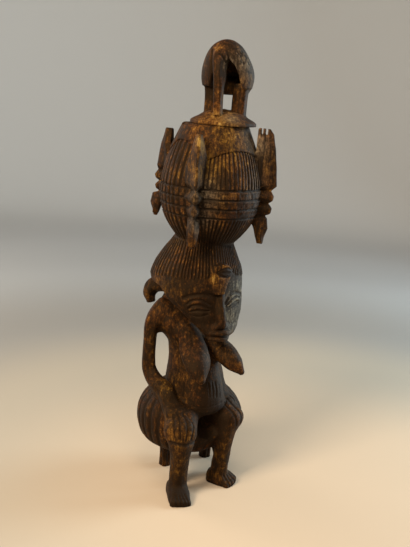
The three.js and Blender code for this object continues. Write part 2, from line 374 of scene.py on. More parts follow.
def globe_ribs(p):
    """Where along the globe's gadroons each point is, in degrees, and how strong they are there."""
    turn = turn_about(p, STOOL_X, STOOL_FRONT) + 2.5 * lumps(p, (60, 60, 40))
    level, radius, lean = np.array(GLOBE, float).T
    x, y, z = p.T
    radius, lean = np.interp(z, level, radius), np.interp(z, level, lean)
    off = np.hypot(x - STOOL_X + LEAN_SIDE * lean, y + STOOL_FRONT - LEAN_BACK * lean) - radius
    strength = 0.35 + 0.65 * step(lumps(p, (35, 35, 35), 5.0), -0.5, 0.3)
    strength *= step(z, 47, 62) * (z < level[-1]) * step(np.abs(off), 7, 4)
    return turn, strength, np.full(len(p), GLOBE_GROOVES)


def stool():
    globe = column([[z, STOOL_X - LEAN_SIDE * lean, STOOL_FRONT - LEAN_BACK * lean, r, r, r]
                    for z, r, lean in GLOBE], edge=4)
    lap = column([[z, 2, 55, *reaches] for z, *reaches in LAP])

    def gadroons(p):
        turn, strength, count = globe_ribs(p)
        return GLOBE_DEPTH * flutes(turn, count) * strength

    globe = carved(cut_by(globe, lap, 3), gadroons)
    legs = []
    for x, front in STOOL_LEGS:
        leg = column(
            [[z, x * share, front * share, half, half, half] for z, share, half in STOOL_LEG], power=3)

        def ribs(p, x=x, front=front):
            return LEG_DEPTH * flutes(turn_about(p, x, front), LEG_GROOVES) * step(p[:, 2], 44, 38)

        legs.append(carved(leg, ribs))
    return united([globe, *legs], 2.5)


# Body

TRUNK = [
    [96, 0, 0, 34, 30, 34], [112, 0, 2, 36, 40, 44], [122, 0, 3, 37, 47, 46], [134, 0, 2, 37, 49, 46],
    [152, 0, 0, 35, 46, 44], [172, 0, -4, 33, 42, 36], [192, 0, -8, 33, 38, 30],
    [208, 0, -12, 35, 35, 27], [222, 0, -16, 45, 33, 25], [238, 0, -21, 52, 30, 24],
    [252, 0, -25, 52, 27, 22], [266, 0, -27, 42, 25, 20], [284, 0, -26, 34, 24, 20],
    [300, 0, -26, 32, 24, 20],
]
RIGHT_BREAST = [
    [22, 4, 232, 13, 12], [24, 22, 216, 19, 15], [29, 43, 199, 21, 16], [33, 56, 187, 16, 13],
    [35, 67, 176, 6, 6],
]
LEFT_BREAST = [
    [16, 6, 221, 12, 12], [20, 24, 206, 17, 16], [27, 41, 195, 17, 15], [32, 54, 185, 12, 11],
    [35, 63, 178, 5, 5],
]
RIGHT_ARM = [
    [42, -26, 254, 13, 15], [52, -28, 242, 12, 14], [57, -31, 225, 9.5, 12], [57, -31, 182, 9, 11],
    [56, -28, 163, 10, 10.5], [50, -14, 146, 12, 17], [46, 2, 136, 12, 19], [47, 16, 125, 12, 15],
    [49, 30, 120, 13, 9],
]
LEFT_ARM = [
    [42, -26, 254, 13, 15], [51, -29, 242, 12, 14], [54, -33, 225, 9.5, 12], [54, -34, 190, 9, 11],
    [52, -31, 168, 10, 12], [46, -18, 152, 11, 15], [39, -2, 139, 12, 16], [40, 14, 126, 12, 13],
    [43, 28, 121, 13, 8],
]
RIGHT_LEG = {
    "thigh": [[20, 0, 116, 22, 22], [34, 26, 110, 23, 22], [48, 45, 99, 22, 20]],
    "shin": [[48, 49, 102, 19, 19], [49, 51, 84, 17, 17], [48, 49, 64, 13, 14], [46, 46, 44, 12, 12],
             [45, 44, 22, 12, 12]],
    "foot": [[42, 36, 9, 13, 13], [48, 52, 8, 15, 13], [54, 67, 3, 15, 9]],
}
LEFT_LEG = {
    "thigh": [[20, 0, 116, 22, 22], [31, 24, 110, 22, 21], [41, 42, 102, 18, 18]],
    "shin": [[34, 43, 104, 15, 16], [32, 43, 84, 13, 14], [33, 40, 66, 11.5, 12.5], [34, 36, 44, 11.5, 12],
             [34, 33, 22, 11, 12]],
    "foot": [[32, 25, 8, 12, 12], [39, 36, 7, 15, 12], [45, 45, 3, 16, 8]],
}
BODY_LINES = [
    # Fingers of the right hand on the knee, and the band under it
    [1.7, 2, (-56, 38, 121), (-60, 50, 112), (-64, 60, 93)],
    [1.7, 2, (-51, 40, 123), (-55, 54, 112), (-59, 64, 94)],
    [1.7, 2, (-45, 43, 123), (-49, 57, 112), (-53, 67, 94)],
    [1.7, 2, (-40, 46, 121), (-42, 58, 110), (-45, 67, 94)],
    [3.4, 3.2, (-66, 52, 89), (-62, 61, 89), (-55, 67, 88), (-43, 67, 88), (-36, 62, 89)],
    # Fingers of the left hand on the thigh
    [2, 2.4, (27, 38, 125), (32, 50, 116), (36, 57, 107), (37, 60, 98)],
    [2.2, 2.4, (36, 33, 126), (42, 48, 117), (46, 56, 108), (47, 58, 98)],
    [2, 2.4, (45, 26, 125), (50, 40, 117), (54, 49, 108)],
    [1.6, 2.2, (14, 41, 113), (21, 41, 119), (27, 40, 123), (34, 36, 126)],
    # Strokes on the belly
    [1.7, 1.7, (-5, 43, 160), (-5, 46, 150), (-5, 48, 142)],
    [1.8, 1.7, (1, 43, 161), (1, 46, 150), (0, 49, 141)],
    [1.8, 1.7, (7, 42, 160), (7, 46, 150), (6, 48, 140)],
    [1.6, 1.7, (14, 42, 156), (13, 45, 148), (12, 47, 139)],
    [1.1, 1.6, (-36, 28, 132), (-24, 42, 129), (-10, 49, 128), (3, 50, 130), (16, 47, 131)],
    # Edge of the right breast, and strokes above it
    [1.4, 1.8, (-43, 0, 232), (-42, 4, 214), (-38, 8, 197), (-34, 14, 182)],
    [1.2, 1.5, (-35, 13, 240), (-38, 20, 228), (-40, 27, 220)],
    [1.2, 1.5, (-31, 18, 238), (-35, 27, 226), (-37, 34, 217)],
    [1.1, 1.5, (-28, 24, 234), (-31, 32, 224), (-34, 40, 214)],
    # Toes
    [2, 2, (-60, 64, 14), (-63, 72, 9), (-66, 80, 0)],
    [2, 2, (-56, 66, 15), (-58, 75, 10), (-60, 83, 0)],
    [2, 2, (-52, 67, 15), (-53, 76, 10), (-54, 84, 0)],
    [1.8, 1.8, (-48, 66, 14), (-48, 74, 9), (-48, 81, 0)],
    [2, 2, (34, 44, 13), (37, 54, 8), (39, 60, 0)],
    [2, 2, (39, 44, 14), (43, 53, 9), (46, 60, 0)],
    [2, 2, (44, 42, 14), (49, 50, 9), (53, 56, 0)],
    [1.8, 1.8, (48, 38, 13), (54, 44, 8), (58, 49, 0)],
]


def leg(parts, side):
    turned = {name: rows if side > 0 else mirrored(rows) for name, rows in parts.items()}
    limbs = [limb(rows, power=2.8 if name == "foot" else 2.3) for name, rows in turned.items()]
    return united(limbs, 5)


def body():
    trunk = column(TRUNK, power=2.3, edge=4)
    breasts = [limb(mirrored(RIGHT_BREAST), power=1.7), limb(LEFT_BREAST, power=1.7)]
    trunk = cut_by(trunk, limb([[2, 26, 97, 18, 15], [2, 70, 97, 18, 15]]), 3)
    armpits = [limb([[side * 46, -25, 236, 9, 9], [side * 47, -26, 226, 8, 8]]) for side in (-1, 1)]
    chest = united([trunk, *breasts, *armpits], 5)
    arms = [limb(mirrored(RIGHT_ARM), across=(-0.8, 0.6, 0), power=3),
            limb(LEFT_ARM, across=(0.8, 0.6, 0), power=3)]
    plain = united([chest, *arms, leg(RIGHT_LEG, -1), leg(LEFT_LEG, 1)], 5)
    return engraved(plain, BODY_LINES)


# Head

SKULL = [
    [225, 0, 48, 12, 9, 9], [232, 0, 45, 20, 14, 14], [240, 0, 39, 27, 18, 18], [248, 0, 32, 33, 22, 22],
    [262, 0, 19, 45, 35, 34], [276, 0, 4, 56, 49, 54], [290, 0, -5, 60, 58, 72],
    [302, 0, -7, 60, 60, 74], [316, 0, -7, 57, 59, 67], [332, 0, -6, 50, 53, 57],
    [346, 0, -4, 43, 46, 48], [358, 0, -2, 38, 40, 40],
]
SKULL_FRONT = -5
HAIR_LOBE = [
    [30, -44, 286, 12, 13], [40, -57, 279, 10, 10], [44, -61, 268, 8.5, 8], [43, -59, 258, 6, 5],
]
# Rows [turn from straight ahead, height]
HAIRLINE = [
    [0, 332], [12, 322], [25, 312], [45, 309], [62, 306], [82, 307], [110, 302], [140, 297], [180, 292],
]
HAIR_RIBS, SIDE_RIBS, SIDE_START = 80, 50, 60
HAIR_TOP, HAIR_BOTTOM = 355, 290
RIB_DEPTH, SKIN_DEPTH, HAIR_RISE = 2.2, 0.8, 0.2
# The underside of the jaw, which slopes up towards the back
JAW_FRONT, JAW_BACK, JAW_HEIGHT, JAW_SLOPE, JAW_STRETCH = 47, 5, 228, 0.9, 1.35
# Rows [height, how much wider her left side is]
CHEEK = [(228, 1.2), (236, 1.4), (248, 1.32), (262, 1.16), (276, 1.05), (290, 1)]
FACE_LINES = [
    # Her right brow, two folds of the lid, the slit of the eye and the fold under it
    [3.6, 3.6, (-48, 30, 282), (-43, 37, 286), (-33, 44, 289), (-20, 50, 289), (-6, 53, 287)],
    [2.2, 2, (-44, 34, 275), (-41, 38, 279.5), (-35, 43, 282), (-28, 47, 281), (-17, 50, 275)],
    [-1.6, 2.2, (-43, 35, 272), (-40, 38, 276), (-34, 43, 278.5), (-27, 47, 277.5), (-17, 50, 272)],
    [2.4, 1.8, (-42, 35, 269), (-39, 38, 272.5), (-34, 43, 274.5), (-27, 46, 273.5), (-19, 49, 270)],
    [-1.6, 2, (-41, 36, 266.5), (-33, 43, 270.5), (-20, 49, 268)],
    [3, 2, (-41, 35, 264), (-33, 43, 266.5), (-19, 49, 267)],
    [1.8, 1.8, (-39, 36, 259.5), (-32, 43, 258), (-20, 49, 262)],
    # The same on her left
    [3.2, 3.2, (6.4, 51.4, 276.2), (11.7, 51.1, 284.1), (20.7, 47.5, 288.8), (32.2, 43.9, 286.4),
     (44.2, 35.9, 280.6)],
    [2.6, 2, (8.4, 51.6, 271.2), (16.3, 50.3, 278.6), (26.6, 47.4, 282), (36.3, 42.9, 280)],
    [-1.6, 2, (9, 51.7, 270.2), (17.5, 50.5, 275.8), (28, 47.4, 279.3), (35, 43.5, 277.5)],
    [3, 2, (9.5, 51.7, 268.7), (18.3, 50.7, 273), (30, 47.3, 276.3)],
    [2, 2, (8.7, 51.9, 266), (18.9, 50.5, 268.4), (34, 43.6, 273)],
]
TAB_FACE, TAB_BACK, TAB_PALE, TAB_DARK = 58, 40, 0.24, 0.3
TAB = [(-21, 320), (-16, 328), (-5, 332), (4, 329), (13.5, 320), (6, 309), (-1, 290), (-15, 290)]
TAB_X, TAB_BEND, TAB_EYE = -0.8, 0.018, (15, 7.5, 319.5)
TAB_LINES = [
    [3.2, 2, (-14.5, 55, 319.5), (-8, 57, 324), (-1, 58, 326), (6, 57, 324), (12, 56, 320)],
    [3.2, 2, (-14.5, 55, 319.5), (-8, 57, 315), (-1, 58, 313), (6, 57, 315), (12, 56, 320)],
    [1.6, 3, (-10, 57, 319.5), (5, 57, 319.5)],
]


def hair_ribs(p):
    """Where along the hair's ribs each point is, their strength and their number around the head there,
    and whether it is hair."""
    turn = turn_about(p, 0, SKULL_FRONT)
    hairline = between(np.abs(turn), HAIRLINE)
    hair = step(p[:, 2], hairline - 2, hairline + 3)
    fading = 1 - 0.5 * step(np.abs(turn), 95, 120) * step(p[:, 2], 318, 304)
    turn = turn + 0.8 * lumps(p, (14, 14, 40))
    count = np.where(np.abs(turn) < SIDE_START, HAIR_RIBS, SIDE_RIBS)
    return turn, fading * hair * step(p[:, 2], HAIR_TOP + 1, HAIR_TOP - 1), count, hair


def on_right_of_nose(p):
    """1 on the nose and on all of the face to her right of it, which the grey dusting and painted cool sheen
    are kept off.
    """
    return step(p[:, 0], 5, 1) * step(p[:, 2], 225, 232) * step(p[:, 2], 296, 290) * (p[:, 1] < 0)


def before_tab(p):
    """How far before the curved face of the tab each point is."""
    return -p[:, 1] - TAB_FACE + TAB_BEND * (p[:, 0] - TAB_X) ** 2


def on_tab(p):
    """How much paler the face of the tab is, or darker within its eye-shaped outline."""
    ahead = step(before_tab(p), -3.5, -1.5)
    inside = step(polygon_distance(p[:, ::2], np.array(TAB, float)), 0.5, -1.0)
    half_width, half_height, level = TAB_EYE
    across = 3 * ((p[:, 0] - TAB_X) / half_width) ** 2
    eye = np.clip(3 - across - 3 * np.abs(p[:, 2] - level) / half_height, 0, 1)
    return ahead * inside * (TAB_PALE - (TAB_PALE + TAB_DARK) * eye)


def tab():
    """The flat tab on the forehead, with a straight edge all around."""
    corners = np.array(TAB, float)
    low = np.array([corners[:, 0].min(), -TAB_FACE, corners[:, 1].min()])
    high = np.array([corners[:, 0].max(), 0, corners[:, 1].max()])

    def distance(p):
        flat = polygon_distance(p[:, ::2], corners)
        return smooth_max(smooth_max(flat, before_tab(p), 1.2), TAB_BACK + p[:, 1], 1)

    return Form(low, high, distance)


def across_face(*half):
    """A limb that runs from her right to her left, from the rows of its left half, outermost first."""
    return limb([*mirrored(half[:-1]), *half[::-1]], across=(0, 1, 0))


def head():
    skull = column(SKULL, power=2.2, edge=3)

    def ribs(p):
        turn, strength, count, hair = hair_ribs(p)
        return SKIN_DEPTH * (1 - hair) + RIB_DEPTH * flutes(turn, count) * strength - HAIR_RISE * hair

    def under_jaw(p):
        return (-p[:, 1] - JAW_FRONT + JAW_BACK + JAW_SLOPE * (p[:, 2] - JAW_HEIGHT)) / JAW_STRETCH

    def shaped(p):
        under = np.where(p[:, 2] < HAIR_BOTTOM, -under_jaw(p), -FAR)
        narrowed = p.copy()
        narrowed[:, 0] /= np.where(p[:, 0] > 0, between(p[:, 2], CHEEK), 1)
        return smooth_max(skull_ribbed.distance(narrowed), under, 2)

    skull_ribbed = carved(skull, ribs)
    shaped_skull = Form(skull.low, skull.high, shaped)
    lobes = [limb(HAIR_LOBE, power=3.5), limb(mirrored(HAIR_LOBE), power=3.5)]
    nose = united([
        limb([[-3, 50, 290, 5, 5], [-2.5, 53, 276, 5, 5], [-2, 56, 260, 6, 6], [-1, 57, 249, 7, 6]],
             power=1.7),
        across_face([10, 52, 243, 4, 3.5], [0, 57, 246, 4, 5]),
    ], 3)
    lips = [
        across_face([19, 46, 235, 3, 3.2], [11, 57, 236.5, 3.5, 3.2], [0, 61, 237, 4, 3.6]),
        across_face([15, 50, 228, 3, 3], [8, 57, 228, 3.5, 3], [0, 59.5, 228, 4, 3.2]),
    ]
    face = united([united([shaped_skull, nose], 4), *lips], 1.5)
    return united([engraved(face, FACE_LINES), engraved(tab(), TAB_LINES), *lobes], 1.5)


# Bowl

BOWL_X, BOWL_FRONT = 3, 2
BOWL_BOTTOM, BOWL_FLOOR, RIM_HEIGHT = 344, 362, 511
RIM_INNER, THROAT_BOTTOM, BOWL_WALL, BOWL_REACH = 34, 504, 8, 71
BOWL_OUTLINE = [
    [344, 30], [352, 38], [366, 50], [381, 60], [397, 66.5], [416, 70], [435, 69.5], [458, 65], [479, 58],
    [496, 51], [511, 44.5], [520, 41],
]
BELT_BOTTOM, BELT_TOP, BELT_PITCH = 393, 430.5, 12.5
BOWL_FLUTES, SIDE_FLUTES = 72, 45
SIDE_PANEL = 53.33, 133.33
SCALLOP_HEIGHT, SCALLOP_DROP, SIDE_RISE = 480, 11, 9
FLUTE_DEPTH, PANEL_DEPTH, GROOVE_DEPTH, SIDE_DEPTH = 1.8, 0.9, 1.5, 1.2


def belt_grooves(z):
    """1 in the level lines of the belt, one pitch apart, and 0 between them."""
    return (0.5 + 0.5 * np.cos(2 * np.pi * (z - BELT_BOTTOM) / BELT_PITCH)) ** BELT_SHARPNESS


def bowl_ribs(p):
    """Where along the bowl's flutes each point is, in degrees, their strength and their number around
    the bowl there, and how much each point is belt."""
    z = p[:, 2]
    turn = turn_about(p, BOWL_X, BOWL_FRONT)
    panel = step(z, scallop(turn) + 1, scallop(turn) - 1) * step(z, BELT_TOP - 1, BELT_TOP + 3)
    panel += step(z, BELT_BOTTOM, BELT_BOTTOM - 4) * step(z, HAIR_TOP, HAIR_TOP + 2)
    strength = 0.5 + 0.7 * step(lumps(p, (20, 20, 45), 4.0), -0.5, 0.4)
    off = np.hypot(p[:, 0] - BOWL_X, p[:, 1] + BOWL_FRONT) - between(z, BOWL_OUTLINE)
    near = step(np.abs(off), 6.5, 4.5)
    count = np.where((turn > SIDE_PANEL[0]) & (turn < SIDE_PANEL[1]), SIDE_FLUTES, BOWL_FLUTES)
    belt = step(z, BELT_BOTTOM - 3, BELT_BOTTOM - 1.5) * step(z, BELT_TOP + 3, BELT_TOP + 1.5)
    return turn + 1.6 * lumps(p, (16, 16, 70)), panel * strength * near, count, belt * near


def scallop(turn):
    """Height of the scalloped line under the bowl's plain shoulder."""
    across = (turn + 405) % 90 - 45
    return SCALLOP_HEIGHT - SCALLOP_DROP * (across / 40) ** 2 + SIDE_RISE * step(np.abs(turn - 85), 30, 10)


def bowl():
    level, radius = smooth_rows(BOWL_OUTLINE, 6).T
    upright = 1 / np.hypot(1, np.gradient(radius, level))
    low = np.array([BOWL_X - BOWL_REACH, -BOWL_FRONT - BOWL_REACH, BOWL_BOTTOM])
    high = np.array([BOWL_X + BOWL_REACH, -BOWL_FRONT + BOWL_REACH, RIM_HEIGHT])

    def outside(p):
        z = p[:, 2]
        out = np.hypot(p[:, 0] - BOWL_X, p[:, 1] + BOWL_FRONT)
        wall = (out - np.interp(z, level, radius)) * np.interp(z, level, upright)
        return smooth_max(wall, np.maximum(z - RIM_HEIGHT, BOWL_BOTTOM - z), 2)

    def carving(p):
        z = p[:, 2]
        turn, strength, count, belt = bowl_ribs(p)
        line = scallop(turn)
        left = belt * (count == SIDE_FLUTES)
        depth = PANEL_DEPTH * step(z, line + 1, line - 1) * step(z, 345, 352)
        depth += FLUTE_DEPTH * flutes(turn, count) * strength + GROOVE_DEPTH * groove(z - line, 2)
        depth += GROOVE_DEPTH * belt_grooves(z) * belt - 0.6 * belt_grooves(z + 2.8) * belt
        depth += left * SIDE_DEPTH * flutes(turn, count)
        return depth + 0.6 * (belt - left) * step(lumps(p, (3, 3, 4), 6.0), 0.1, 0.6)

    chipped = cut_by(Form(low, high, outside), limb([[-44, -26, 514, 5, 5], [-40, -12, 513, 7, 6]]), 1)
    return carved(chipped, carving)


def bowl_hollow():
    """The hollow keeps the wall's thickness, and its mouth runs out above the rim."""
    wall = [[z, radius - BOWL_WALL] for z, radius in BOWL_OUTLINE
            if BOWL_FLOOR + BOWL_WALL < z < THROAT_BOTTOM]
    rows = [[BOWL_FLOOR, 30], *wall, [THROAT_BOTTOM, RIM_INNER], [RIM_HEIGHT + 19, RIM_INNER]]
    return column([[z, BOWL_X, BOWL_FRONT, r, r, r] for z, r in rows])


# A head in profile: rows [share of the height, inner reach, outer reach, half root, half ridge].
# The share runs from -1 at the beard's tip through 0 under the hat to 1 at the hat's tip.
PROFILE_HEAD = [
    [1, 66, 75, 4, 3], [0.9, 66, 79.5, 6, 3], [0.6, 66, 84, 11, 2], [0.3, 60, 87, 14.5, 2],
    [0.02, 60, 89, 14.5, 4], [-0.075, 60, 82.5, 6, 1], [-0.17, 60, 86, 14, 10], [-0.23, 60, 85, 13, 8],
    [-0.29, 60, 80, 6, 1], [-0.38, 60, 85, 10, 8], [-0.44, 60, 84, 9, 6], [-0.5, 60, 77, 6, 1],
    [-0.56, 65, 80, 8, 3], [-0.72, 71, 82, 8, 3], [-0.88, 74, 78, 6, 2], [-1, 76, 77, 4, 2],
]
CHIN = -0.5
ROUNDING = 2.2
PRONGS = [(63.2, 1.1), (69.1, 1.1)]
PROFILE_HEADS = [
    {"turn": 34, "shift": 21.6, "top": 500, "hat": 435, "tip": 352, "reach": 0.97},
    {"turn": -45, "top": 511, "hat": 435, "tip": 356, "pronged": True},
    {"turn": 137, "top": 501, "hat": 449, "tip": 380, "reach": 0.915, "brim": 0.87, "beard": 1.02,
     "thin": 4},
    {"turn": -137, "top": 502, "hat": 440, "tip": 366, "reach": 0.95},
]


def profile_head(turn, top, hat, tip, reach=1, brim=None, beard=None, thin=0, shift=0, pronged=False):
    """One of the heads. Shift moves it towards her right, and thin takes the beard away from the bowl."""
    angle = math.radians(turn)
    out = np.array([-math.sin(angle), -math.cos(angle), 0])
    rows = []
    for share, inner, outer, root, ridge in PROFILE_HEAD:
        stretch = (brim or reach) if 0 < share < 1 else reach
        if share < CHIN:
            stretch = beard or reach
            inner += thin
        z = hat + share * (top - hat if share > 0 else hat - tip)
        rows.append([z, inner, outer * stretch, root, ridge])
    level, inner, outer, root, ridge = np.array(rows[::-1]).T
    front = np.stack([outer - ROUNDING, level], 1)
    back = np.stack([inner - 6, level], 1)[::-1]
    outline = np.concatenate([front, back])
    outline[:, 1] = np.clip(outline[:, 1], tip + ROUNDING, top - ROUNDING)
    across = np.array([-out[1], out[0], 0])
    middle = np.array([BOWL_X, -BOWL_FRONT, 0]) - shift * across
    ends = [middle + out * inner.min(), middle + out * outer.max()]
    low = np.minimum(*ends) - 15
    high = np.maximum(*ends) + 15
    low[2], high[2] = tip, top

    def distance(p):
        off = p - middle
        z = p[:, 2]
        far = off @ out
        side = np.abs(off @ across)
        flat = polygon_distance(np.stack([far, z], 1), outline) - ROUNDING
        if pronged:
            for place, half_slit in PRONGS:
                slit = half_slit * step(z, top - 9, top - 6) - np.abs(far - place)
                flat = np.where(z > top - 11, smooth_max(flat, slit, 0.8), flat)
        near_edge, far_edge = np.interp(z, level, inner), np.interp(z, level, outer)
        t = np.clip((far - near_edge) / (far_edge - near_edge), 0, 1)
        half = np.interp(z, level, root) * (1 - t) + 0.5 * np.interp(z, level, ridge) * t
        if pronged:
            for place, _ in PRONGS:
                half = half - 1.6 * groove(far - place, 1.8) * step(z, hat + 2, hat + 12)
        return smooth_max(flat, side - half, 2)

    return Form(low, high, distance)


# The whole figure and its lid

def seated_figure():
    upper = united([bowl(), *[profile_head(**values) for values in PROFILE_HEADS]], 1.5)
    upper = cut_by(upper, bowl_hollow(), 1)
    whole = united([united([stool(), body()], 3), head()], 3)
    return cut_below(united([whole, upper], 1.5), 0)


LID_GAP = 0.3
LID_SHIFT_X, LID_SHIFT_FRONT = 7.5, 5.5
LID_RADIUS, LID_EDGE, LID_RISE = 44.3, 5, 20
BIRD_TURN, BIRD_TOP = 52, 620
# Rows [height, x] and [height, front] of the edge of the flat side of the bird's head
FACET_X, FACET_FRONT = [[560, 4], [585, 0]], [[575, 38], [590, 36.5], [602, 33], [612, 27]]
BIRD_LINES = [
    # Where the head meets the body on its right
    [3.5, 2.2, (-17, 19.5, 606), (-15, 23.5, 593), (-14, 24, 572), (-12, 22, 556)],
    # Slit of the left eye, a raised line on each side of it, and a groove behind them
    [4, 2.6, (-1.5, 32, 601), (1.5, 30.4, 596.7), (4.5, 27.8, 592)],
    [-1.8, 1.3, (-2.8, 33.5, 599), (0.5, 31.5, 594), (4, 28.4, 588.5)],
    [-1.6, 1.3, (0.8, 28, 606), (5.3, 27, 600.5), (5.8, 27.7, 592.6)],
    [2.2, 1.3, (3.5, 26, 607), (8, 25, 600), (8.2, 26, 591)],
    # Lines on the left wing
    [-1.2, 1.3, (20, 15, 607), (25, 11, 600), (27, 10, 592)],
    [1.6, 1.3, (22, 12, 607), (28, 8, 599), (30, 6, 590)],
    [1.2, 1.2, (16, 18, 606), (21, 15, 598), (24, 14, 590)],
]


def bird_lid():
    """The lid about its own middle, with the bird facing -Y."""
    bottom = RIM_HEIGHT + LID_GAP
    disc = column([[bottom + rise, 0, 0, r, r, r] for rise, r in [
        [-4, 44], [1, LID_RADIUS], [LID_EDGE, 43], [10, 34], [15, 26], [18, 18], [LID_RISE, 6],
        [LID_RISE + 1, 1]]], edge=2)
    dome = column([
        [560, 0, -4, 33, 25, 42], [572, 0, -4, 35, 28, 44], [586, 0, -2, 33.5, 28, 40],
        [600, -1, 0, 28, 26, 31], [611, -1, 2, 21, 20.5, 23.5], [617, -1, 2.5, 14, 14, 16],
        [BIRD_TOP + 1.5, -1, 3, 5, 5, 6],
    ], power=2.1, edge=2)
    hollow = column([
        [540, 4, -2, 21, 60, 26], [562, 4, -2, 20.5, 60, 25], [575, 4, -2, 18.5, 60, 22],
        [586, 4.5, -1, 14, 50, 16], [592, 5, 0, 8.5, 40, 10], [596, 5, 0, 4, 40, 5],
    ])
    legs = [column([
        [bottom, side * 19, -6, 9.5, 10, 9], [548, side * 19, -6, 9.5, 10, 9],
        [566, side * 21, -6, 10, 12, 12],
    ], power=4) for side in (-1, 1)]
    head_and_beak = limb([
        [-3, 10, 601, 9, 9], [-3, 23, 597, 10, 10.5], [-2.2, 28, 584, 8.5, 9.5],
        [-0.8, 29.5, 573, 7.7, 9.5], [-1.2, 30, 560, 6.6, 8], [-0.5, 30, 544, 5.7, 7.5],
        [0, 29, 528, 5.5, 7],
    ], power=3.5)
    beak_only = head_and_beak.distance

    def faceted(p):
        side = p[:, 0] - between(p[:, 2], FACET_X)
        ahead = p[:, 1] + between(p[:, 2], FACET_FRONT)
        return smooth_max(beak_only(p), 0.84 * side - 0.55 * ahead, 1)

    head_and_beak = Form(head_and_beak.low, head_and_beak.high, faceted)
    tail = limb([[0, -30, 592, 15, 9], [0, -42, 574, 14, 6], [0, -48, 555, 13, 4]])
    rump = limb([[-18, -24, 562, 11, 12], [18, -24, 562, 11, 12]], across=(0, 1, 0))
    bird = united([cut_by(dome, hollow, 2), *legs, head_and_beak, tail, rump], 3)
    bird = engraved(bird, BIRD_LINES)
    return cut_below(united([disc, bird], 2), bottom)


# From distances to meshes

def sampled(form):
    """The form's distances on a regular grid, worked out finely only near the surface."""
    low = np.floor(form.low) - MARGIN
    blocks = np.ceil((form.high + MARGIN - low) / (VOXEL * BLOCK)).astype(int)
    corners = lattice(*[np.arange(n) for n in blocks])
    coarse = form.distance(low + (corners + 0.5) * VOXEL * BLOCK)
    volume = np.clip(coarse, -BAND, BAND).reshape(blocks)
    for axis in range(3):
        volume = np.repeat(volume, BLOCK, axis=axis)
    volume = np.ascontiguousarray(volume, dtype=np.float32)
    cells = corners[np.abs(coarse) < BLOCK * VOXEL * HALF_DIAGONAL + BAND] * BLOCK
    for size, inner in ((BLOCK, SUB_BLOCK), (SUB_BLOCK, 1)):
        cells = (cells[:, None] + lattice(*[np.arange(0, size, inner)] * 3)[None]).reshape(-1, 3)
        values = form.distance(low + (cells + inner / 2) * VOXEL)
        for shift in lattice(*[np.arange(inner)] * 3):
            volume[tuple((cells + shift).T)] = np.clip(values, -BAND, BAND)
        cells = cells[np.abs(values) < inner * VOXEL * HALF_DIAGONAL + SLACK]
    return volume, low + VOXEL / 2


def settled(points, form, rounds=1, most=0.8, tiny=0.3):
    """Points moved onto the form's surface, and the surface normals there."""
    for _ in range(rounds):
        here = form.distance(points)
        slope = np.stack([form.distance(points + tiny * axis) - here for axis in np.eye(3)], 1) / tiny
        square = np.maximum(np.einsum("ij,ij->i", slope, slope), 0.15)
        points = points - slope * (np.clip(here / square, -most, most))[:, None]
    return points, slope / np.sqrt(square)[:, None]


def roughness(p):
    """How far the hand-cut surface stands off the plain form."""
    rough = 0.5 * lumps(p, (17, 17, 30)) + 0.2 * lumps(p, (7, 7, 16), 3.0)
    rough += 0.9 * scoops(p, (9, 9, 20)) - 0.35
    inside = (np.hypot(p[:, 0] - BOWL_X, p[:, 1] + BOWL_FRONT) < 66) & (p[:, 2] > BOWL_FLOOR - 1)
    return np.where(inside, 0.3, 1) * rough


def spotted(p, spots):
    """Sum of soft spots, each [strength, radius, x, front, height]."""
    total = np.zeros(len(p))
    for strength, radius, x, front, z in spots:
        square = ((p - (x, -front, z)) ** 2).sum(axis=1)
        total += strength * np.exp(-square / radius ** 2)
    return total


# Strength of the painted lines on the globe, across the belt at the side, and where engraved
GLOBE_LINES, SIDE_LINES, CUT_DARK = 0.6, 0.6, 0.9
STEEP_REACH, SMALL_REACH, BROAD_REACH, EDGE_REACH = 6, 2.2, 9, 2.5


def rib_pattern(p):
    """For the material: the turn about the ribs' own axis, as a direction as long as the ribs are strong,
    with the number of ribs around it, and how much each point is belt."""
    turn, strength, count, belt = bowl_ribs(p)
    strength = np.maximum(strength, SIDE_LINES * belt * (count == SIDE_FLUTES))
    for top, own_ribs in ((HAIR_TOP, hair_ribs), (HAIR_BOTTOM, globe_ribs)):
        below = p[:, 2] < top
        turn[below], strength[below], count[below] = own_ribs(p[below])[:3]
    strength[p[:, 2] < HAIR_BOTTOM] *= GLOBE_LINES
    around = np.radians(turn)
    strength = np.maximum(strength, 0.001)
    return np.stack([np.cos(around) * strength, np.sin(around) * strength, count], 1), belt


